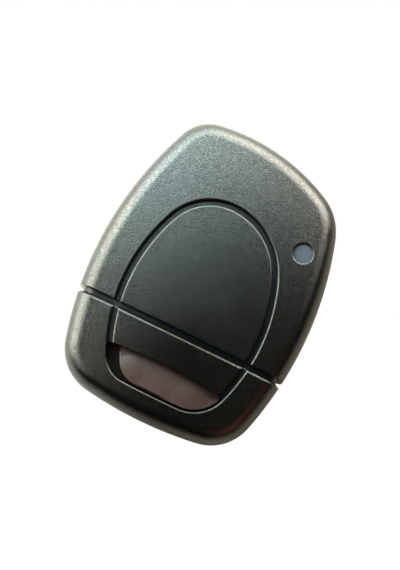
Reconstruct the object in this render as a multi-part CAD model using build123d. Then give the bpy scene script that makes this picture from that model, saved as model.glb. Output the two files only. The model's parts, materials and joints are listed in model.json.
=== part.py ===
from build123d import *
from math import sqrt
import os

# Sizes in mm. +X runs across the fob and +Y towards its slanted head end.
# +Z comes out of the front face. The fob lies on its back on z = 0.

# Outline of the fob at the joint between front and rear.
half_width = 21.3
half_length = 28.3
widest_y = -2.4
side_radius = 68.2
tail_radius = 75.2
head_x = -4.85
head_radius = 38.8
tail_corner = 9.1
left_corner = 7.4
right_corner = 10.3

# Thickness, walls and crown.
thickness = 13.4
parting_z = 6.2
draft = 4
edge_round = 3.3
back_round = 3.0
wall = 1.7
crown_radius = 190
parting_bevel = 0.15

# Egg line round the front: outer edge of the trench and of the button window.
egg_side_margin = 7.32
egg_half_width = half_width - egg_side_margin
egg_x = 0.0
egg_widest_y = -6.3
egg_side_radius = 34.4
egg_tail_x = 9.0
egg_tail_margin = 4.5
egg_tail_y = egg_tail_margin - half_length
egg_tail_radius = 200
egg_tail_left = 5.5
egg_tail_right = 7.2
egg_head_x = -2.0
egg_head_margin = 13.6
egg_head_y = half_length - egg_head_margin
egg_head_radius = 20.0
egg_head_left = 10.7
egg_head_right = 14.0
egg_turn = 2.6
trench_width = 1.0
trench_depth = 0.75
line_bevel = 0.2

# Split between the head cover and the tail cover, a groove all the way round.
tail_cover_length = 16.65
split_width = 1.1
split_y = tail_cover_length + split_width - half_length
split_depth = 0.95
split_lap = 1.3
split_bevel = 0.4

# Lap joint between the front covers and the rear cover.
lip_step = 0.1
lip_height = 0.9
lip_gap = 0.05

# Button window, below an arched band whose edge is thinned for the button.
band_x = -0.5
band_length = 5.85
band_edge_y = split_y - split_width - band_length
band_edge_radius = 103
band_lip = 1.0

# Button and its hinge. A wide gap is left at its left end, as in the photograph.
button_gap = 0.5
button_shift = 2.1
button_top_z = 11.55
button_ceiling_z = 10.1
button_base_z = 8.7
button_dome_radius = 70
button_dome_y = band_edge_y - 3.5
button_bevel = 0.25
button_wall = 1.1
step_reach = 1.1
step_z = 10.2
flange_reach = 0.9
flange_z = 9.2
flange_height = 0.7
hinge_x = 1.15
hinge_reach = 2.7
hinge_y = band_edge_y + hinge_reach
hinge_z = 9.2
barrel_radius = 1.15
barrel_half = 8.6
trunnion_radius = 0.75
trunnion_length = 1.5
running_gap = 0.05
end_gap = 0.1
ear_thick = 1.6
ear_radius = 1.7
post_radius = 1.3
humps = [(-3.8, 0.0, 2.0), (5.2, -0.3, 2.6), (9.8, 0.4, 1.3)]
hump_height = 0.12

# Lens over the light.
lens_side_margin = 7.4
lens_head_margin = 16.25
lens_x = half_width - lens_side_margin
lens_y = half_length - lens_head_margin
lens_radius = 1.75
lens_recess = 0.5
lens_gap = 0.05
lens_flange = 0.75
lens_bottom_z = 9.7
lens_bevel = 0.2

# Circuit board and what it carries.
board_z = 5.15
board_thick = 1.0
board_inset = 3.4
board_tail_margin = 8.1
board_head_margin = 11.3
board_notch_gap = 0.85
board_notch_drop = 3.6
post_side_margin = 6.9
post_light_gap = 3.2
post_tail_y = -6.0
post_size = 1.4
spigot_radius = 0.7
spigot_height = 0.8

# Tactile switch under the button.
switch_x = 1.0
switch_arm = 2.9
switch_y = hinge_y - switch_arm
switch_width = 6.0
switch_depth = 3.8
switch_height = 1.45
switch_floor = 0.3
switch_well = 1.55
cover_thick = 0.2
cover_hole = 1.0
plunger_radius = 0.9
plunger_height = 0.75
plunger_flange = 1.35
press_gap = 0.03
dome_height = 0.4
dome_radius = 1.45
dome_thick = 0.08

# Coin cell under the board and its two contacts.
cell_x = 0
cell_y = 0.5
cell_radius = 10.0
cell_height = 1.6
cell_z = 2.05
cap_radius = 8.6
can_thick = 0.25
gasket_thick = 0.35
cradle_gap = 0.3
cradle_wall = 1.0
cradle_height = 1.5
clip_width = 5.0
clip_thick = 0.28
clip_gap = 0.1
finger_reach = 6.6
finger_width = 1.5
finger_thick = 0.16
hub_radius = 2.4

# Light, circuits and aerial on the board.
light_radius = 1.5
light_flange = 1.85
light_height = 3.4
chip_x = -2.5
chip_drop = 4.9
can_x = 7.6
can_y = 4.6
capacitor_spots = [(3.2, 8.4), (3.2, 6.2), (9.8, -0.4), (-7.6, 7.4), (6.0, -9.2)]
resistor_spots = [(-7.6, 3.6), (-4.6, 0.8), (-1.4, 0.8), (1.8, 0.8), (6.0, -12.6)]
aerial_inset = 1.0
aerial_width = 1.3
aerial_thick = 0.12
aerial_light_gap = 0.3
aerial_tail_y = -15.5

# Key-ring bar in a scoop at the tail of the back.
bar_tail_margin = 3.2
bar_y = bar_tail_margin - half_length
bar_z = 1.9
bar_radius = 1.0
bar_seat = 2.0
bar_gap = 0.02
scoop_radius = 3.2
scoop_half_width = 4.6
scoop_wall = 1.1
scoop_mouth = 2.5

# Blade socket at the high end of the head, with its cross hole.
blade_width = 9.2
blade_height = 2.6
blade_depth = 12.0
socket_wall = 1.3
blade_pin_radius = 0.8
blade_pin_margin = 7.7
blade_pin_y = half_length - blade_pin_margin
blade_pin_boss = 2.0
blade_pin_top_z = 10.0

# Transponder slug beside the blade socket.
slug_side_margin = 8.65
slug_head_margin = 13.4
slug_width = 3.6
slug_length = 10.2
slug_height = 2.8
slug_wall = 0.7
slug_gap = 0.1

# Case screw and its boss.
screw_side_margin = 12.3
screw_head_margin = 7.9
screw_x = half_width - screw_side_margin
screw_y = half_length - screw_head_margin
screw_radius = 0.95
screw_head_radius = 1.75
screw_head_height = 1.0
screw_length = 7.2
screw_gap = 0.02
screw_clear = 0.15
screw_end = 0.8
recess_depth = 1.3
boss_radius = 2.2

# Places that follow from the sizes above.
slug_x = slug_side_margin - half_width
slug_y = half_length - slug_head_margin
blade_x = slug_x + slug_width / 2 + slug_gap + socket_wall + blade_width / 2
board_tail_y = board_tail_margin - half_length
board_head_y = half_length - board_head_margin
board_notch_x = blade_x + blade_width / 2 + socket_wall + board_notch_gap
board_notch_y = half_length - blade_depth - socket_wall - board_notch_drop
chip_y = board_notch_y - chip_drop
aerial_head_y = lens_y - light_flange - aerial_light_gap
post_left_y = slug_y - slug_length / 2 - slug_gap - slug_wall - post_size - 0.4
post_right_y = lens_y - light_flange - post_size - post_light_gap
post_left_x = post_side_margin - half_width
post_right_x = half_width - post_side_margin - 1
post_spots = [(post_left_x, post_tail_y), (post_right_x, post_tail_y),
              (post_left_x, post_left_y), (post_right_x, post_right_y)]
split_tail_y = split_y - split_width
lap_y = split_tail_y - split_lap
board_top_z = board_z + board_thick
lip_inset = split_depth + lip_step
switch_top_z = board_top_z + switch_height + cover_thick
plunger_top_z = switch_top_z + plunger_height
dome_top_z = board_top_z + switch_floor + dome_height
tuck_y = hinge_y - ear_radius - 2 * end_gap
far = 2 * half_length


def cut_corner(plan, middle, right, top, radius):
    # Rounds the one corner that lies in the named quarter.
    best = None
    reach = 0
    for vertex in plan.vertices():
        away = sqrt((vertex.X - middle[0]) ** 2 + (vertex.Y - middle[1]) ** 2)
        if (vertex.X > middle[0]) == right and (vertex.Y > middle[1]) == top and away > reach:
            best = vertex
            reach = away
    return fillet(best, radius)


def four_arcs(inset, cx, hw, wide_y, side_r, low_x, low_y, low_r, top_x, top_y, top_r, corners):
    # Common area of four large discs, with the corners rounded.
    left = Pos(cx - hw + side_r, wide_y) * Circle(side_r - inset)
    right = Pos(cx + hw - side_r, wide_y) * Rot(0, 0, 180) * Circle(side_r - inset)
    low = Pos(low_x, low_y + low_r) * Rot(0, 0, 90) * Circle(low_r - inset)
    reach = top_r - inset
    top = Pos(top_x, top_y - top_r) * (Circle(reach) + Pos(0, -reach) * Rectangle(2 * reach, 2 * reach))
    plan = left & right & low & top
    middle = (cx, (low_y + top_y) / 2)
    # The largest radius goes first: the others then always find their corner.
    for is_right, is_top, radius in sorted(corners, key=lambda corner: -corner[2]):
        plan = cut_corner(plan, middle, is_right, is_top, radius - inset)
    return plan


def outline(inset):
    corners = [
        (False, False, tail_corner),
        (True, False, tail_corner),
        (False, True, left_corner),
        (True, True, right_corner),
    ]
    return four_arcs(inset, 0, half_width, widest_y, side_radius, 0, -half_length,
                     tail_radius, head_x, half_length, head_radius, corners)


def egg(inset):
    corners = [
        (False, False, egg_tail_left),
        (True, False, egg_tail_right),
        (False, True, egg_head_left),
        (True, True, egg_head_right),
    ]
    plan = four_arcs(inset, egg_x, egg_half_width, egg_widest_y, egg_side_radius, egg_tail_x, egg_tail_y,
                     egg_tail_radius, egg_head_x, egg_head_y, egg_head_radius, corners)
    return Rot(0, 0, egg_turn) * plan


def crown_height(x, y):
    # Height of the front face above the point x, y.
    return thickness - crown_radius + sqrt(crown_radius ** 2 - x ** 2 - y ** 2)


def crown(depth):
    # Large ball whose upper side lies the given depth under the front face.
    ball = Rot(90, 0, 0) * Rot(0, 0, -90) * Sphere(crown_radius - depth)
    return Pos(0, 0, thickness - crown_radius) * ball


def block(x0, x1, y0, y1, z0, z1):
    size = Box(x1 - x0, y1 - y0, z1 - z0)
    return Pos((x0 + x1) / 2, (y0 + y1) / 2, (z0 + z1) / 2) * size


def rod(x, y, z0, z1, radius):
    return Pos(x, y, (z0 + z1) / 2) * Cylinder(radius, z1 - z0)


def cross_rod(x0, x1, y, z, radius):
    return Pos((x0 + x1) / 2, y, z) * Rot(0, 90, 0) * Cylinder(radius, x1 - x0)


def slab(plan, z0, z1):
    return Pos(0, 0, z0) * extrude(plan, z1 - z0)


def upper_half(inset):
    # Front half of the pebble: drafted sides, crowned face, rounded rim.
    # The draft is drawn downwards and turned over, which holds for every size.
    solid = extrude(outline(inset), -thickness, taper=draft)
    solid = Pos(0, 0, parting_z) * mirror(solid, about=Plane.XY)
    solid = solid & crown(inset)
    rim = solid.faces().sort_by(Axis.Z)[-1].edges()
    if inset < wall:
        return fillet(rim, edge_round - inset)
    return chamfer(rim, edge_round - inset)


def lower_half(inset):
    # Rear half of the pebble: drafted sides, flat back, rounded rim.
    solid = Pos(0, 0, parting_z) * extrude(outline(inset), inset - parting_z, taper=draft)
    rim = solid.faces().sort_by(Axis.Z)[0].edges()
    if inset < wall:
        return fillet(rim, back_round - inset)
    return chamfer(rim, back_round - inset)


def edges_where(solid, test):
    # Edges whose middle passes the given test.
    found = []
    for edge in solid.edges():
        if test(edge @ 0.5):
            found.append(edge)
    return found


def near_crown(spot):
    return abs(spot.Z - crown_height(spot.X, spot.Y)) < 0.02


def along(wires):
    # Test for edges on the crown that lie over one of the given flat lines.
    def test(spot):
        flat = Vertex(spot.X, spot.Y, 0)
        return near_crown(spot) and min(wire.distance_to(flat) for wire in wires) < 0.01
    return test


def egg_lines():
    return egg(0).wires() + egg(trench_width).wires()


def on_split(y):
    # Test for the outer edges where a cover ends at the split.
    def test(spot):
        return abs(spot.Y - y) < 0.01 and spot.Z > parting_z + parting_bevel
    return test


def lens_rim(spot):
    away = sqrt((spot.X - lens_x) ** 2 + (spot.Y - lens_y) ** 2)
    return near_crown(spot) and away < lens_radius + 2 * lens_gap


def trench():
    # Cutter for the trench that follows the egg line.
    ring = egg(0) - egg(trench_width)
    return slab(ring, parting_z, thickness + 2) - crown(trench_depth)


def band_disc():
    # Large disc whose top edge is the arched edge of the band.
    return Pos(band_x, band_edge_y - band_edge_radius) * Rot(0, 0, 90) * Circle(band_edge_radius)


def rebate():
    # Room for the rear cover's lip inside the edge of the front covers.
    ring = outline(lip_inset - lip_gap) - outline(wall + lip_gap)
    return slab(ring, parting_z - 1, parting_z + lip_height + lip_step)


def socket_frame(z0, z1):
    # Block round the blade socket, from one height to the other.
    half = blade_width / 2 + socket_wall
    low_y = half_length - blade_depth - socket_wall
    return block(blade_x - half, blade_x + half, low_y, half_length - wall / 2, z0, z1)


def socket_tunnel(z0, z1):
    # Hollow that keeps the wall round the blade socket even.
    half = blade_width / 2
    low_y = half_length - blade_depth - 2 * socket_wall
    return block(blade_x - half, blade_x + half, low_y, half_length - wall - socket_wall, z0, z1)


def socket_slot():
    half = blade_width / 2
    low = parting_z - blade_height / 2
    high = parting_z + blade_height / 2
    return block(blade_x - half, blade_x + half, half_length - blade_depth, half_length + 2, low, high)


def blade_hole():
    return rod(blade_x, blade_pin_y, -1, blade_pin_top_z, blade_pin_radius)


def bevelled(solid):
    # Small bevel along the joint between front and rear.
    face = solid.faces().filter_by(GeomType.PLANE).sort_by(Axis.Z)
    flats = [f for f in face if abs(f.center().Z - parting_z) < 0.001]
    return chamfer(flats[0].outer_wire().edges(), parting_bevel)


def head_cover():
    zone = block(-far, far, split_y, far, parting_z, far)
    solid = bevelled(upper_half(0)) & zone
    solid = solid - rod(lens_x, lens_y, 0, far, lens_radius + lens_gap)
    solid = chamfer(edges_where(solid, lens_rim), lens_bevel)
    solid = solid - trench()
    solid = chamfer(edges_where(solid, along(egg_lines())), line_bevel)
    ledge_zone = block(-far, far, lap_y, split_y, parting_z + lip_height + lip_step, far)
    solid = solid + (upper_half(split_depth) & ledge_zone)
    # What stands inside the cover is kept out of the hollow.
    high = parting_z + blade_height / 2
    frame = socket_frame(parting_z, far) - socket_tunnel(high + socket_wall, far)
    inner = frame + rod(blade_x, blade_pin_y, high, far, blade_pin_boss)
    inner = inner + rod(screw_x, screw_y, parting_z, far, boss_radius)
    for x, y in post_spots:
        if y > 0:
            inner = inner + rod(x, y, parting_z, far, post_size)
    solid = solid - (upper_half(wall) - inner) - rebate()
    solid = solid - socket_slot() - blade_hole()
    return solid - rod(screw_x, screw_y, 0, recess_depth + screw_length + screw_end, screw_radius + screw_gap)


def ear(x0, x1):
    # Lug under the band that carries one end of the button's hinge.
    hook = cross_rod(x0, x1, hinge_y, hinge_z, ear_radius)
    neck = block(x0, x1, hinge_y - ear_radius, hinge_y + ear_radius, hinge_z, far)
    return hook + neck - cross_rod(x0 - 1, x1 + 1, hinge_y, hinge_z, trunnion_radius + running_gap)


def tail_cover():
    zone = block(-far, far, -far, split_tail_y, parting_z, far)
    opening = slab(egg(0) & band_disc(), 0, far)
    solid = bevelled(upper_half(0)) & zone
    solid = chamfer(edges_where(solid, on_split(split_tail_y)), split_bevel)
    solid = solid - opening - trench()
    solid = chamfer(edges_where(solid, along(egg_lines())), line_bevel)
    lap_zone = block(-far, far, lap_y - lip_gap, split_tail_y + 1, 0, far)
    solid = solid - (upper_half(split_depth) & lap_zone)
    ears = None
    for side in (-1, 1):
        near = hinge_x + side * (barrel_half + end_gap)
        lug = ear(min(near, near + side * ear_thick), max(near, near + side * ear_thick))
        ears = lug if ears is None else ears + lug
    ears = ears - block(-far, far, lap_y - lip_gap, far, 0, far)
    solid = solid - (upper_half(wall) - ears) - rebate()
    # The band's edge is thinned where the button reaches under it.
    relief = slab(button_plan(-end_gap, tuck_y + end_gap), 0, far) & crown(band_lip)
    return solid - relief


def rear_cover():
    solid = lower_half(0)
    flats = [f for f in solid.faces().filter_by(GeomType.PLANE) if abs(f.center().Z - parting_z) < 0.001]
    solid = chamfer(flats[0].outer_wire().edges(), parting_bevel)
    groove = block(-far, far, split_tail_y, split_y, -1, far) - lower_half(split_depth)
    cavity = lower_half(wall)
    solid = solid - groove
    bump = cross_rod(-scoop_half_width - bar_seat - 0.6, scoop_half_width + bar_seat + 0.6, bar_y, bar_z,
                     scoop_radius + scoop_wall)
    low = parting_z - blade_height / 2
    frame = socket_frame(0, parting_z) - socket_tunnel(wall, low - socket_wall)
    frame = frame + rod(blade_x, blade_pin_y, wall / 2, low, blade_pin_boss)
    inner = bump + frame
    inner = inner + rod(screw_x, screw_y, 0, parting_z, boss_radius)
    ring = rod(cell_x, cell_y, wall / 2, wall + cradle_height, cell_radius + cradle_gap + cradle_wall)
    ring = ring - rod(cell_x, cell_y, 0, far, cell_radius + cradle_gap)
    gap = clip_width + 2
    ring = ring - block(-far, far, cell_y - gap / 2, cell_y + gap / 2, 0, far)
    ring = ring - block(cell_x - gap / 2, cell_x + gap / 2, -far, far, 0, far)
    inner = inner + ring
    for x, y in post_spots:
        inner = inner + rod(x, y, wall / 2, board_z, post_size)
        inner = inner + rod(x, y, wall / 2, board_z + spigot_height, spigot_radius)
    pen_x = slug_width / 2 + slug_gap + slug_wall
    pen_y = slug_length / 2 + slug_gap + slug_wall
    pen = block(slug_x - pen_x, slug_x + pen_x, slug_y - pen_y, slug_y + pen_y, wall / 2, wall + 1.5)
    pen_x = pen_x - slug_wall
    pen_y = pen_y - slug_wall
    pen = pen - block(slug_x - pen_x, slug_x + pen_x, slug_y - pen_y, slug_y + pen_y, wall, far)
    inner = inner + pen
    inner = inner & lower_half(wall / 2)
    lip = slab(outline(lip_inset) - outline(wall), parting_z - 0.5, parting_z + lip_height)
    solid = (solid - cavity) + inner + lip
    scoop = cross_rod(-scoop_half_width, scoop_half_width, bar_y, bar_z, scoop_radius)
    mouth = block(-scoop_half_width, scoop_half_width, -far, bar_y, -1, bar_z + scoop_mouth)
    below = block(-scoop_half_width, scoop_half_width, bar_y - scoop_radius, bar_y + scoop_radius, -1, bar_z)
    solid = solid - scoop - mouth - below
    reach = scoop_half_width + bar_seat
    solid = solid - cross_rod(-reach, reach, bar_y, bar_z, bar_radius + bar_gap)
    solid = solid - socket_slot() - blade_hole()
    solid = solid - rod(screw_x, screw_y, -1, recess_depth, screw_head_radius + screw_clear)
    return solid - rod(screw_x, screw_y, -1, far, screw_radius + screw_clear)


def button_plan(inset, head_y):
    # Half-moon, clear of the window's edge, with its straight edge at head_y.
    near = egg(button_gap + inset)
    shape = near & (Pos(button_shift, 0) * near)
    return shape & (Pos(0, head_y - far / 2) * Rectangle(2 * far, far))


def hump(x, y, radius):
    # Low round bump on the button's face.
    ball = (radius ** 2 + hump_height ** 2) / (2 * hump_height)
    away = sqrt((x - hinge_x) ** 2 + (y - button_dome_y) ** 2)
    face_z = button_top_z - button_dome_radius + sqrt(button_dome_radius ** 2 - away ** 2)
    return Pos(x, y, face_z + hump_height - ball) * Sphere(ball)


def button():
    dome = Pos(hinge_x, button_dome_y, button_top_z - button_dome_radius) * Sphere(button_dome_radius)
    plan = button_plan(0, tuck_y)
    cap = slab(plan, button_base_z, button_top_z + 1) & dome
    top = cap.faces().sort_by(Axis.Z)[-1]
    cap = chamfer(top.edges(), button_bevel)
    for x, y, radius in humps:
        bump = hump(x, button_dome_y + y, radius)
        cap = cap + (bump & slab(plan, button_ceiling_z + 0.3, button_top_z + 1))
    below = Pos(0, tuck_y - far / 2) * Rectangle(2 * far, far)
    step = slab(button_plan(-step_reach, tuck_y) & egg(button_gap), button_base_z, step_z)
    flange = slab(egg(-flange_reach) & below, flange_z, flange_z + flange_height)
    hollow = slab(button_plan(button_wall, tuck_y - button_wall), 0, button_ceiling_z)
    solid = cap + step + flange - hollow
    tongue = block(hinge_x - barrel_half + 1, hinge_x + barrel_half - 1, tuck_y - button_wall / 2, hinge_y,
                   hinge_z - 0.5, hinge_z + barrel_radius)
    solid = solid + tongue
    solid = solid + cross_rod(hinge_x - barrel_half, hinge_x + barrel_half, hinge_y, hinge_z, barrel_radius)
    reach = barrel_half + trunnion_length
    solid = solid + cross_rod(hinge_x - reach, hinge_x + reach, hinge_y, hinge_z, trunnion_radius)
    post = rod(switch_x, switch_y, plunger_top_z + press_gap, button_ceiling_z + 0.2, post_radius)
    return solid + post


def lens():
    top = crown_height(lens_x, lens_y) - lens_recess
    solid = rod(lens_x, lens_y, lens_bottom_z, top, lens_radius)
    flange = rod(lens_x, lens_y, lens_bottom_z, lens_bottom_z + 0.6, lens_radius + lens_flange)
    return solid + flange


def board():
    plan = outline(board_inset)
    solid = slab(plan, board_z, board_top_z)
    solid = solid & block(-far, far, board_tail_y, board_head_y, 0, far)
    solid = solid - block(-far, board_notch_x, board_notch_y, far, 0, far)
    for x, y in post_spots:
        solid = solid - rod(x, y, 0, far, spigot_radius + 0.1)
    return solid


def switch_body():
    half_x = switch_width / 2
    half_y = switch_depth / 2
    top = board_top_z + switch_height
    solid = block(switch_x - half_x, switch_x + half_x, switch_y - half_y, switch_y + half_y,
                  board_top_z, top)
    solid = chamfer(solid.edges().filter_by(Axis.Z), 0.4)
    return solid - rod(switch_x, switch_y, board_top_z + switch_floor, far, switch_well)


def switch_cover():
    half_x = switch_width / 2 - 0.3
    half_y = switch_depth / 2
    low = board_top_z + switch_height
    high = switch_top_z
    plate = block(switch_x - half_x, switch_x + half_x, switch_y - half_y, switch_y + half_y, low, high)
    plate = plate - rod(switch_x, switch_y, 0, far, cover_hole)
    for side in (-1, 1):
        y = switch_y + side * (half_y + cover_thick / 2)
        tab = block(switch_x - 1.4, switch_x + 1.4, y - cover_thick / 2, y + cover_thick / 2,
                    board_top_z + 0.3, high)
        plate = plate + tab
    return plate


def switch_terminals():
    # Four soldered feet, one at each corner.
    feet = []
    for side_x in (-1, 1):
        for side_y in (-1, 1):
            x = switch_x + side_x * (switch_width / 2 + 0.35)
            y = switch_y + side_y * switch_depth / 4
            foot = block(x - 0.35, x + 0.35, y - 0.35, y + 0.35, board_top_z, board_top_z + 0.15)
            inner_x = switch_x + side_x * (switch_width / 2 + 0.075)
            riser = block(inner_x - 0.075, inner_x + 0.075, y - 0.35, y + 0.35, board_top_z,
                          board_top_z + 0.7)
            feet.append(foot + riser)
    return Compound(children=feet)


def switch_dome():
    # Thin snap dome, shown relaxed.
    high = dome_height
    ball = (dome_radius ** 2 + high ** 2) / (2 * high)
    centre = board_top_z + switch_floor + high - ball
    shell = (Pos(0, 0, centre) * Sphere(ball)) - (Pos(0, 0, centre) * Sphere(ball - dome_thick))
    floor = board_top_z + switch_floor
    return Pos(switch_x, switch_y, 0) * (shell & rod(0, 0, floor, floor + 2 * high, dome_radius))


def switch_plunger():
    low = dome_top_z + 0.005
    solid = rod(switch_x, switch_y, low, plunger_top_z, plunger_radius)
    flange_top = board_top_z + switch_height - 0.05
    solid = solid + rod(switch_x, switch_y, low + 0.05, flange_top, plunger_flange)
    top = solid.faces().sort_by(Axis.Z)[-1]
    return chamfer(top.edges(), 0.12)


def cell_can():
    # Cup of the coin cell, its rim curled in over the gasket.
    solid = rod(0, 0, 0, cell_height, cell_radius)
    solid = chamfer(solid.edges().filter_by(GeomType.CIRCLE), 0.2)
    inside = rod(0, 0, can_thick, cell_height + 1, cap_radius + gasket_thick)
    return Pos(cell_x, cell_y, cell_z) * (solid - inside)


def cell_cap():
    solid = rod(0, 0, can_thick + gasket_thick, cell_height, cap_radius)
    rim = solid.edges().filter_by(lambda e: (e @ 0.5).Z > cell_height - 0.01)
    return Pos(cell_x, cell_y, cell_z) * chamfer(rim, 0.25)


def cell_gasket():
    # Ring that keeps the cap clear of the can.
    outer = rod(0, 0, can_thick, cell_height - 0.1, cap_radius + gasket_thick)
    inner = rod(0, 0, can_thick + gasket_thick, cell_height + 1, cap_radius)
    window = rod(0, 0, 0, cell_height, cap_radius - 1)
    return Pos(cell_x, cell_y, cell_z) * (outer - inner - window)


def positive_clip():
    # Strip under the cell, bent up at both ends to the board.
    low = wall + 0.04
    reach = cell_radius + clip_gap
    half = clip_width / 2
    solid = block(-reach, reach, -half, half, low, low + clip_thick)
    for side in (-1, 1):
        x = side * (reach + clip_thick / 2)
        solid = solid + block(x - clip_thick / 2, x + clip_thick / 2, -half, half, low, board_z)
    return Pos(cell_x, cell_y, 0) * solid


def negative_contact():
    # Hub under the board with three springy fingers that rest on the cell.
    low = cell_z + cell_height
    hub = rod(0, 0, board_z - finger_thick, board_z, hub_radius)
    path = Polyline((hub_radius - 0.4, board_z), (finger_reach, low + finger_thick),
                    (finger_reach + 0.8, low + finger_thick + 0.2), (finger_reach + 0.8, low + 0.2),
                    (finger_reach, low), (hub_radius - 0.4, board_z - finger_thick),
                    (hub_radius - 0.4, board_z))
    profile = Plane.XZ * make_face(path)
    finger = extrude(profile, finger_width / 2, both=True)
    solid = hub
    for turn in (90, 210, 330):
        solid = solid + Rot(0, 0, turn) * finger
    return Pos(cell_x, cell_y, 0) * solid


def light():
    # Round light with a domed nose, under the lens.
    base = rod(lens_x, lens_y, board_top_z, board_top_z + 0.8, light_flange)
    top = board_top_z + light_height
    body = rod(lens_x, lens_y, board_top_z, top, light_radius)
    nose = body.faces().sort_by(Axis.Z)[-1]
    return chamfer(nose.edges(), light_radius * 0.4) + base


def on_board(x, y, sx, sy, height):
    return block(x - sx / 2, x + sx / 2, y - sy / 2, y + sy / 2, board_top_z, board_top_z + height)


def chip(x, y, sx, sy, height):
    solid = on_board(x, y, sx, sy, height)
    return chamfer(solid.edges().filter_by(Axis.Z), 0.2)


def chip_legs(x, y, sx, count):
    # Row of gull-wing legs on each side of a chip.
    legs = []
    for side in (-1, 1):
        for i in range(count):
            leg_y = y + (i - (count - 1) / 2) * 0.65
            leg = on_board(x + side * (sx / 2 + 0.45), leg_y, 0.9, 0.3, 0.15)
            leg = leg + on_board(x + side * (sx / 2 + 0.08), leg_y, 0.15, 0.3, 0.5)
            legs.append(leg)
    return legs


def resonator():
    solid = on_board(can_x, can_y, 5.0, 5.0, 1.6)
    solid = fillet(solid.edges().filter_by(Axis.Z), 0.6)
    return chamfer(solid.faces().sort_by(Axis.Z)[-1].edges(), 0.2)


def chips(spots, sx, sy, height):
    return Compound(children=[on_board(x, y, sx, sy, height) for x, y in spots])


def aerial():
    # Flat loop of copper along the edge of the board.
    outer = outline(board_inset + aerial_inset)
    inner = outline(board_inset + aerial_inset + aerial_width)
    ring = slab(outer - inner, board_top_z, board_top_z + aerial_thick)
    ring = ring & block(board_notch_x + 1, far, aerial_tail_y, aerial_head_y, 0, far)
    foot = block(4.0, 17.5, aerial_tail_y, aerial_tail_y + aerial_width, 0, far)
    foot = foot & slab(outer, board_top_z, board_top_z + aerial_thick)
    return ring + foot


def slug():
    solid = block(slug_x - slug_width / 2, slug_x + slug_width / 2, slug_y - slug_length / 2,
                  slug_y + slug_length / 2, wall + 0.02, wall + 0.02 + slug_height)
    return fillet(solid.edges().filter_by(Axis.Z), 0.6)


def key_ring_bar():
    reach = scoop_half_width + bar_seat
    return cross_rod(-reach, reach, bar_y, bar_z, bar_radius)


def case_screw():
    low = recess_depth - screw_head_height
    head = rod(screw_x, screw_y, low, recess_depth, screw_head_radius)
    head = chamfer(head.faces().sort_by(Axis.Z)[0].edges(), 0.35)
    shank = rod(screw_x, screw_y, recess_depth, recess_depth + screw_length, screw_radius)
    shank = chamfer(shank.faces().sort_by(Axis.Z)[-1].edges(), 0.4)
    cross = block(-1.0, 1.0, -0.22, 0.22, 0, 0.6) + block(-0.22, 0.22, -1.0, 1.0, 0, 0.6)
    return head + shank - Pos(screw_x, screw_y, low) * cross


parts = {
    "front_head_cover": head_cover,
    "front_tail_cover": tail_cover,
    "rear_cover": rear_cover,
    "button": button,
    "light_lens": lens,
    "key_ring_bar": key_ring_bar,
    "case_screw": case_screw,
    "circuit_board": board,
    "switch_body": switch_body,
    "switch_cover": switch_cover,
    "switch_terminals": switch_terminals,
    "switch_dome": switch_dome,
    "switch_plunger": switch_plunger,
    "cell_can": cell_can,
    "cell_cap": cell_cap,
    "cell_gasket": cell_gasket,
    "positive_clip": positive_clip,
    "negative_contact": negative_contact,
    "light": light,
    "control_chip": lambda: chip(chip_x, chip_y, 4.4, 5.0, 1.0),
    "chip_legs": lambda: Compound(children=chip_legs(chip_x, chip_y, 4.4, 7)),
    "resonator": resonator,
    "amplifier": lambda: chip(6.4, -3.2, 1.4, 3.0, 1.0),
    "capacitors": lambda: chips(capacitor_spots, 1.2, 2.0, 0.9),
    "resistors": lambda: chips(resistor_spots, 1.2, 2.0, 0.5),
    "aerial": aerial,
    "transponder": slug,
}

os.makedirs("parts", exist_ok=True)
for name, make in parts.items():
    export_step(make(), f"parts/{name}.step")
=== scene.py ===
import json
import math
import bpy
from mathutils import Matrix, Vector

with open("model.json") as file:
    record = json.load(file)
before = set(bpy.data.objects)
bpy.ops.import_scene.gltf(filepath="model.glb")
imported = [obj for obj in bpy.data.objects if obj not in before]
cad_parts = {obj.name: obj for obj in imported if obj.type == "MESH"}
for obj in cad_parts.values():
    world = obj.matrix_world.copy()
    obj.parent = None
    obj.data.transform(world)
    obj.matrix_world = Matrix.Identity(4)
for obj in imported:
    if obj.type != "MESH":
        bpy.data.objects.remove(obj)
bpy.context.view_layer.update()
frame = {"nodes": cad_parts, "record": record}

# Lengths are in metres, angles in degrees, light powers in watts and noise scales in grains per metre.

# Camera: a point in the fob, how far right of and above the picture's middle it is shown, and the view of it.
CAMERA_TARGET = Vector((0.0, 0.0, 0.0085))
OFF_RIGHT = 0.00110
OFF_UP = 0.00055
CAMERA_DISTANCE = 0.34
CAMERA_TILT = 8.0
CAMERA_ROLL = 26.0
PICTURE_WIDTH = 0.07395
SENSOR_MILLIMETRES = 36.0
CLIP_START = 0.01

# Lights: what they face, and the soft walls that stand round the fob.
LIT_POINT = Vector((0.0, 0.0, 0.006))
WALL_DISTANCE = 0.5
WALL_WIDTH = 0.58
WALL_LIFT = 0.26
WALL_HEIGHT = 0.50
WORLD_STRENGTH = 0.01

# Floor: its half side, and its dim and bright tones with the place of each on the line from the photograph's
# lower right to its upper left.
# The floor's ramp from dim to bright is painted light, seen only in reflections.
FLOOR_HALF = 0.6
FLOOR_DIM = (0.30, 0.26, 0.23)
FLOOR_BRIGHT = (0.85, 0.84, 0.80)
DIM_AT = -0.0121
BRIGHT_AT = 0.0343
WHITE = (1.0, 1.0, 1.0, 1.0)

# Noise values between which ramps run: wide for grain, narrow for clouds, and higher for streaks and specks.
GRAIN_RANGE = (0.3, 0.7)
CLOUD_RANGE = (0.35, 0.65)
STREAK_RANGE = (0.35, 0.7)
SPECK_RANGE = (0.45, 0.70)

# Grained plastics.
CLOUD_SCALE = 90.0
GRAIN_STRENGTH = 0.5
GRAINED_SPECULAR = 1.0
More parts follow.
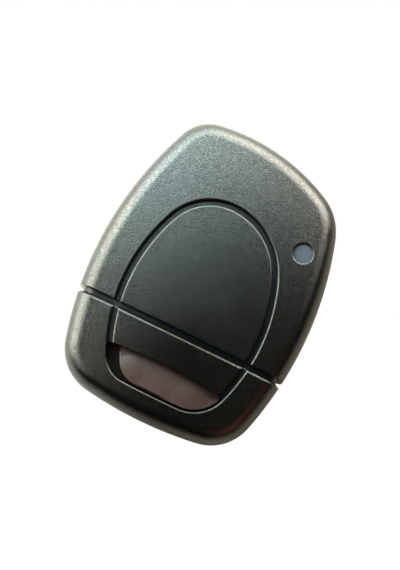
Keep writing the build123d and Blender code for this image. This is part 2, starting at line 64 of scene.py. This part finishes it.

# Shell plastic: tones, grain, bright worn edges, painted shade in the grooves, and painted shade that dulls
# the sheen round the button.
SHELL_DARK = (0.0008, 0.0011, 0.0010)
SHELL_SPECK = (0.0036, 0.0048, 0.0042)
SHELL_ROUGHNESS = (0.17, 0.20)
SHELL_GRAIN_SCALE = 6000.0
SHELL_GRAIN_DEPTH = 0.0001
SPECK_SCALE = 4300.0
SPECK_SHEEN = (0.74, 1.30)
EDGE_WEAR_RADIUS = 0.0003
# Painted shade: grooves and corners lose their sheen and take a dull blue-grey tone.
GROOVE_REACH = 0.0011
GROOVE_RANGE = (0.55, 0.95)
GROOVE_SHADE_TONE = (0.004, 0.0065, 0.009)
GROOVE_SHEEN = (0.08, 1.0)
# Painted shade round the button: the spot it centres on, the distances over which it fades, and the sheen at
# each end.
SHADED_SPOT = (0.003, -0.018, 0.011)
SHADED_SPOT_RANGE = (0.004, 0.014)
SHADED_SPOT_SHEEN = (0.36, 1.04)
CORNER_SAMPLES = 8

# Polished plastics.
POLISH_CLOUD_SCALE = 160.0
POLISH_SCALE = 2600.0
POLISH_STRENGTH = 0.2
POLISH_DEPTH = 0.000003
POLISH_SPREAD = 0.2
POLISH_IOR = 1.49
COAT_WEIGHT = 0.1
COAT_ROUGHNESS = 0.12

# Button plastic: painted shade makes it black on its low flange and dark where it runs in under the band.
BUTTON_DEEP = (0.031, 0.0175, 0.0158)
BUTTON_PALE = (0.035, 0.020, 0.018)
BUTTON_ROUGHNESS = 0.42
FLANGE_TOP = 0.0103
FLANGE_FADE = 0.0003
FLANGE_SHADE_TONE = 0.08
BAND_SHADE_START = -0.0182
BAND_SHADE_FADE = 0.0014
BAND_SHADE_TONE = 0.1
BUTTON_SPECULAR = (0.1, 0.34)

# Metals: the share of the tone that a streak keeps, and how far roughness swings about its mean.
STREAK_TONE = 0.75
METAL_SPREAD = 0.3

# Dark and light tone, lowest and highest roughness, grain scale and grain depth.
GRAINED_PLASTICS = {
    "board_laminate": ((0.03, 0.18, 0.07), (0.05, 0.24, 0.10), (0.3, 0.4), 900.0, 0.00001),
    "switch_plastic": ((0.03, 0.03, 0.03), (0.05, 0.05, 0.05), (0.4, 0.55), 1500.0, 0.00002),
    "plunger_plastic": ((0.50, 0.47, 0.40), (0.58, 0.55, 0.48), (0.4, 0.5), 1500.0, 0.00002),
    "gasket_plastic": ((0.25, 0.25, 0.25), (0.32, 0.32, 0.32), (0.45, 0.55), 1500.0, 0.00002),
    "chip_resin": ((0.03, 0.03, 0.035), (0.05, 0.05, 0.055), (0.5, 0.65), 2500.0, 0.00002),
    "capacitor_body": ((0.45, 0.35, 0.25), (0.55, 0.45, 0.33), (0.4, 0.5), 2500.0, 0.00001),
    "resistor_body": ((0.03, 0.03, 0.035), (0.06, 0.06, 0.07), (0.3, 0.4), 2500.0, 0.00001),
    "slug_resin": ((0.04, 0.04, 0.045), (0.06, 0.06, 0.065), (0.45, 0.6), 2200.0, 0.00002),
}

# Deep and pale tone, roughness and the share of light let through.
POLISHED_PLASTICS = {
    "lens_plastic": ((0.043, 0.061, 0.082), (0.049, 0.069, 0.092), 0.4, 0.1),
    "light_resin": ((0.72, 0.74, 0.78), (0.80, 0.82, 0.84), 0.2, 0.5),
}

# Tone, mean roughness and streak scale.
METALS = {
    "bar_steel": ((0.56, 0.57, 0.58), 0.3, 900.0),
    "screw_steel": ((0.10, 0.10, 0.11), 0.4, 900.0),
    "cover_steel": ((0.66, 0.66, 0.64), 0.3, 1200.0),
    "cell_steel": ((0.70, 0.70, 0.69), 0.22, 700.0),
    "contact_steel": ((0.72, 0.66, 0.50), 0.28, 900.0),
    "resonator_case": ((0.74, 0.69, 0.52), 0.25, 900.0),
    "aerial_copper": ((0.80, 0.45, 0.28), 0.3, 900.0),
}


def object_coord(tree):
    return tree.nodes.new("ShaderNodeTexCoord").outputs["Object"]


def noise(tree, coord, scale, detail=3.0, rough=0.5):
    node = tree.nodes.new("ShaderNodeTexNoise")
    node.inputs["Scale"].default_value = scale
    node.inputs["Detail"].default_value = detail
    node.inputs["Roughness"].default_value = rough
    tree.links.new(coord, node.inputs["Vector"])
    return node.outputs["Fac"]


def ramp(tree, source, low, high, at_low=0.0, at_high=1.0):
    # Value that goes straight from at_low to at_high while the source goes from low to high.
    node = tree.nodes.new("ShaderNodeMapRange")
    node.inputs["From Min"].default_value = low
    node.inputs["From Max"].default_value = high
    node.inputs["To Min"].default_value = at_low
    node.inputs["To Max"].default_value = at_high
    tree.links.new(source, node.inputs["Value"])
    return node.outputs["Result"]


def multiply(tree, first, second):
    node = tree.nodes.new("ShaderNodeMath")
    node.operation = "MULTIPLY"
    tree.links.new(first, node.inputs[0])
    tree.links.new(second, node.inputs[1])
    return node.outputs["Value"]


def scale_colour(tree, colour, factor):
    node = tree.nodes.new("ShaderNodeVectorMath")
    node.operation = "SCALE"
    tree.links.new(colour, node.inputs[0])
    tree.links.new(factor, node.inputs["Scale"])
    return node.outputs["Vector"]


def mix_colour(tree, factor, first, second):
    # Colour that goes from first to second. The second is a colour or the output of a node.
    node = tree.nodes.new("ShaderNodeMix")
    node.data_type = "RGBA"
    tree.links.new(factor, node.inputs["Factor"])
    node.inputs["A"].default_value = (*first, 1.0)
    if isinstance(second, bpy.types.NodeSocket):
        tree.links.new(second, node.inputs["B"])
    else:
        node.inputs["B"].default_value = (*second, 1.0)
    return node.outputs["Result"]


def bump(tree, height, strength, depth):
    node = tree.nodes.new("ShaderNodeBump")
    node.inputs["Strength"].default_value = strength
    node.inputs["Distance"].default_value = depth
    tree.links.new(height, node.inputs["Height"])
    return node


def worn_edges(tree):
    # Normals that turn softly round every sharp edge, so that worn edges catch the light.
    node = tree.nodes.new("ShaderNodeBevel")
    node.samples = CORNER_SAMPLES
    node.inputs["Radius"].default_value = EDGE_WEAR_RADIUS
    return node.outputs["Normal"]


def openness(tree):
    # 0 deep in a groove or corner, 1 out on an open face; this mask places the painted groove shade.
    node = tree.nodes.new("ShaderNodeAmbientOcclusion")
    node.samples = CORNER_SAMPLES
    node.inputs["Distance"].default_value = GROOVE_REACH
    return ramp(tree, node.outputs["AO"], *GROOVE_RANGE)


def painted_shade_patch(tree, coord):
    # Painted shade: sheen lowered round the button, so the face looks darker there.
    node = tree.nodes.new("ShaderNodeVectorMath")
    node.operation = "DISTANCE"
    node.inputs[1].default_value = SHADED_SPOT
    tree.links.new(coord, node.inputs[0])
    return ramp(tree, node.outputs["Value"], *SHADED_SPOT_RANGE, *SHADED_SPOT_SHEEN)


def new_material(name):
    material = bpy.data.materials.new(name)
    material.use_nodes = True
    tree = material.node_tree
    tree.nodes.clear()
    out = tree.nodes.new("ShaderNodeOutputMaterial")
    shader = tree.nodes.new("ShaderNodeBsdfPrincipled")
    tree.links.new(shader.outputs["BSDF"], out.inputs["Surface"])
    return material, tree, shader


def add_grain(tree, shader, coord, roughness, scale, depth):
    # Fine eroded grain, in the roughness and in a relief, whose node is given back.
    grain = noise(tree, coord, scale, detail=2.0, rough=0.6)
    tree.links.new(ramp(tree, grain, *GRAIN_RANGE, *roughness), shader.inputs["Roughness"])
    relief = bump(tree, grain, GRAIN_STRENGTH, depth)
    tree.links.new(relief.outputs["Normal"], shader.inputs["Normal"])
    return relief


def add_polish(tree, shader, coord, roughness, see_through):
    # Polished skin with a hair-fine relief and a thin coat.
    fine = noise(tree, coord, POLISH_SCALE, detail=2.0)
    lowest = roughness * (1.0 - POLISH_SPREAD)
    highest = roughness * (1.0 + POLISH_SPREAD)
    tree.links.new(ramp(tree, fine, *GRAIN_RANGE, lowest, highest), shader.inputs["Roughness"])
    relief = bump(tree, fine, POLISH_STRENGTH, POLISH_DEPTH)
    tree.links.new(relief.outputs["Normal"], shader.inputs["Normal"])
    shader.inputs["Transmission Weight"].default_value = see_through
    shader.inputs["IOR"].default_value = POLISH_IOR
    shader.inputs["Coat Weight"].default_value = COAT_WEIGHT
    shader.inputs["Coat Roughness"].default_value = COAT_ROUGHNESS


def clouded(tree, coord, scale, first, second):
    # Tone that drifts softly between two colours.
    cloud = noise(tree, coord, scale)
    return mix_colour(tree, ramp(tree, cloud, *CLOUD_RANGE), first, second)


def grained_plastic(name, dark, light, roughness, scale, depth):
    material, tree, shader = new_material(name)
    coord = object_coord(tree)
    tree.links.new(clouded(tree, coord, CLOUD_SCALE, dark, light), shader.inputs["Base Color"])
    add_grain(tree, shader, coord, roughness, scale, depth)
    shader.inputs["Specular IOR Level"].default_value = GRAINED_SPECULAR
    return material


def polished_plastic(name, deep, pale, roughness, see_through):
    material, tree, shader = new_material(name)
    coord = object_coord(tree)
    tree.links.new(clouded(tree, coord, POLISH_CLOUD_SCALE, deep, pale), shader.inputs["Base Color"])
    add_polish(tree, shader, coord, roughness, see_through)
    return material


def metal(name, tone, roughness, scale):
    # Drawn or plated metal, streaked with darker and rougher wear.
    material, tree, shader = new_material(name)
    streak = noise(tree, object_coord(tree), scale, detail=4.0, rough=0.6)
    worn = tuple(STREAK_TONE * part for part in tone)
    streaked = mix_colour(tree, ramp(tree, streak, *STREAK_RANGE), tone, worn)
    tree.links.new(streaked, shader.inputs["Base Color"])
    lowest = roughness * (1.0 - METAL_SPREAD)
    highest = roughness * (1.0 + METAL_SPREAD)
    tree.links.new(ramp(tree, streak, *GRAIN_RANGE, lowest, highest), shader.inputs["Roughness"])
    shader.inputs["Metallic"].default_value = 1.0
    return material


def shell_plastic(name):
    # Black moulded plastic with a salty grain, bright worn edges, painted shade in the grooves and a painted
    # shade patch of dull sheen round the button.
    material, tree, shader = new_material(name)
    coord = object_coord(tree)
    relief = add_grain(tree, shader, coord, SHELL_ROUGHNESS, SHELL_GRAIN_SCALE, SHELL_GRAIN_DEPTH)
    tree.links.new(worn_edges(tree), relief.inputs["Normal"])
    open_face = openness(tree)
    speck = noise(tree, coord, SPECK_SCALE, detail=1.0)
    tone = mix_colour(tree, ramp(tree, speck, *SPECK_RANGE), SHELL_DARK, SHELL_SPECK)
    # Painted shade: grooves take a dull blue-grey tone and lose most of their sheen.
    tree.links.new(mix_colour(tree, open_face, GROOVE_SHADE_TONE, tone), shader.inputs["Base Color"])
    groove_sheen = ramp(tree, open_face, 0.0, 1.0, *GROOVE_SHEEN)
    speck_sheen = ramp(tree, speck, *CLOUD_RANGE, *SPECK_SHEEN)
    # Painted shade: the sheen is cut round the button.
    sheen = multiply(tree, multiply(tree, groove_sheen, speck_sheen), painted_shade_patch(tree, coord))
    tree.links.new(sheen, shader.inputs["Specular IOR Level"])
    return material


def button_plastic(name):
    # Smoke-brown plastic with painted shade, which makes it nearly black where it is low or lies under the
    # band.
    material, tree, shader = new_material(name)
    coord = object_coord(tree)
    place = tree.nodes.new("ShaderNodeSeparateXYZ")
    tree.links.new(coord, place.inputs["Vector"])
    # Painted shade: tone and sheen fall away on the low flange and under the band's edge.
    flange_shade = ramp(tree, place.outputs["Z"], FLANGE_TOP, FLANGE_TOP + FLANGE_FADE, FLANGE_SHADE_TONE, 1.0)
    band_edge = BAND_SHADE_START + BAND_SHADE_FADE
    band_shade = ramp(tree, place.outputs["Y"], BAND_SHADE_START, band_edge, 1.0, BAND_SHADE_TONE)
    lit = multiply(tree, flange_shade, band_shade)
    tone = clouded(tree, coord, POLISH_CLOUD_SCALE, BUTTON_DEEP, BUTTON_PALE)
    tree.links.new(scale_colour(tree, tone, lit), shader.inputs["Base Color"])
    tree.links.new(ramp(tree, lit, 0.0, 1.0, *BUTTON_SPECULAR), shader.inputs["Specular IOR Level"])
    add_polish(tree, shader, coord, BUTTON_ROUGHNESS, 0.0)
    return material


def make_materials():
    materials = {
        "shell_plastic": shell_plastic("shell_plastic"),
        "smoked_plastic": button_plastic("smoked_plastic"),
    }
    for make, recipes in (
        (grained_plastic, GRAINED_PLASTICS),
        (polished_plastic, POLISHED_PLASTICS),
        (metal, METALS),
    ):
        for name, recipe in recipes.items():
            materials[name] = make(name, *recipe)
    return materials


def dress_nodes():
    # Each node gets the material of the slot that the record gives it.
    materials = make_materials()
    for part in frame["record"]["subparts"]:
        slots = frame["nodes"][part["node"]].data.materials
        slots.clear()
        slots.append(materials[part["material_slot"]])


# The photograph's up and right, along the floor, and the way from the fob to the camera.
roll = math.radians(CAMERA_ROLL)
tilt = math.radians(CAMERA_TILT)
out_of_face = Vector((0.0, 0.0, 1.0))
up = Vector((-math.sin(roll), math.cos(roll), 0.0))
right = Vector((math.cos(roll), math.sin(roll), 0.0))
eye = (out_of_face * math.cos(tilt) - up * math.sin(tilt)).normalized()
camera_up = eye.cross(right).normalized()


def add_camera():
    data = bpy.data.cameras.new("camera")
    data.sensor_fit = "HORIZONTAL"
    data.sensor_width = SENSOR_MILLIMETRES
    data.lens = SENSOR_MILLIMETRES * CAMERA_DISTANCE / PICTURE_WIDTH
    data.clip_start = CLIP_START
    camera = bpy.data.objects.new("camera", data)
    bpy.context.scene.collection.objects.link(camera)
    look_at = CAMERA_TARGET - right * OFF_RIGHT - camera_up * OFF_UP
    turn = Matrix((right, camera_up, eye)).transposed().to_4x4()
    camera.matrix_world = Matrix.Translation(look_at + eye * CAMERA_DISTANCE) @ turn
    bpy.context.scene.camera = camera


def from_photo(x, y, z):
    # Place seen from the lit point: right and up in the photograph, and out of the fob's face.
    return LIT_POINT + right * x + up * y + out_of_face * z


def add_panel(name, place, width, power, colour, height=None):
    # Soft square panel that faces the lit point, or an oblong one where it has a height.
    data = bpy.data.lights.new(name, "AREA")
    data.energy = power
    data.color = colour
    data.size = width
    if height:
        data.shape = "RECTANGLE"
        data.size_y = height
    lamp = bpy.data.objects.new(name, data)
    bpy.context.scene.collection.objects.link(lamp)
    lamp.location = place
    lamp.rotation_euler = (LIT_POINT - place).to_track_quat("-Z", "Y").to_euler()


def add_wall(name, turn, power, colour, lift=WALL_LIFT, height=WALL_HEIGHT):
    # Panel that stands beside the fob, turned clockwise from the photograph's up.
    angle = math.radians(turn)
    place = from_photo(WALL_DISTANCE * math.sin(angle), WALL_DISTANCE * math.cos(angle), lift)
    add_panel(name, place, WALL_WIDTH, power, colour, height)


def add_lights():
    # Cool light over the head, pale walls that the rims mirror, and two faint warm glows.
    add_panel("key", from_photo(-0.15, 0.38, 0.49), width=0.36, power=2.4, colour=(0.72, 1.0, 0.99))
    add_wall("wall_left", turn=-68, power=7.5, colour=(1.0, 0.99, 0.87), lift=0.28, height=0.56)
    add_wall("wall_top", turn=-14, power=4.7, colour=(0.86, 1.0, 0.94))
    add_wall("wall_right", turn=38, power=7.7, colour=(1.0, 0.95, 0.83))
    add_panel("warm", from_photo(0.22, -0.40, 0.34), width=0.30, power=0.17, colour=(1.0, 0.42, 0.25))
    add_panel("brown", from_photo(-0.095, 0.03, 0.60), width=0.11, power=0.026, colour=(1.0, 0.45, 0.32))


def floor_material():
    # Plain white to the camera. Other rays meet a matt floor with painted light, bright at the upper left and
    # dim at the lower right as the camera sees it.
    material = bpy.data.materials.new("floor")
    material.use_nodes = True
    tree = material.node_tree
    tree.nodes.clear()
    white = tree.nodes.new("ShaderNodeEmission")
    white.inputs["Color"].default_value = WHITE
    white.inputs["Strength"].default_value = 1.0
    across = tree.nodes.new("ShaderNodeVectorMath")
    across.operation = "DOT_PRODUCT"
    across.inputs[1].default_value = (up - right).normalized()
    tree.links.new(tree.nodes.new("ShaderNodeNewGeometry").outputs["Position"], across.inputs[0])
    # Painted light: the floor's tone brightens towards the upper left.
    shade = ramp(tree, across.outputs["Value"], DIM_AT, BRIGHT_AT)
    matt = tree.nodes.new("ShaderNodeBsdfDiffuse")
    tree.links.new(mix_colour(tree, shade, FLOOR_DIM, FLOOR_BRIGHT), matt.inputs["Color"])
    either = tree.nodes.new("ShaderNodeMixShader")
    tree.links.new(tree.nodes.new("ShaderNodeLightPath").outputs["Is Camera Ray"], either.inputs["Fac"])
    tree.links.new(matt.outputs["BSDF"], either.inputs[1])
    tree.links.new(white.outputs["Emission"], either.inputs[2])
    out = tree.nodes.new("ShaderNodeOutputMaterial")
    tree.links.new(either.outputs["Shader"], out.inputs["Surface"])
    return material


def add_floor():
    mesh = bpy.data.meshes.new("floor")
    corners = [(FLOOR_HALF * x, FLOOR_HALF * y, 0.0) for x, y in ((-1, -1), (1, -1), (1, 1), (-1, 1))]
    mesh.from_pydata(corners, [], [(0, 1, 2, 3)])
    mesh.materials.append(floor_material())
    floor = bpy.data.objects.new("floor", mesh)
    bpy.context.scene.collection.objects.link(floor)


def add_world():
    world = bpy.data.worlds.new("world")
    bpy.context.scene.world = world
    world.use_nodes = True
    background = world.node_tree.nodes["Background"]
    background.inputs["Color"].default_value = WHITE
    background.inputs["Strength"].default_value = WORLD_STRENGTH


dress_nodes()
add_camera()
add_lights()
add_floor()
add_world()
bpy.context.scene.view_settings.view_transform = "Standard"
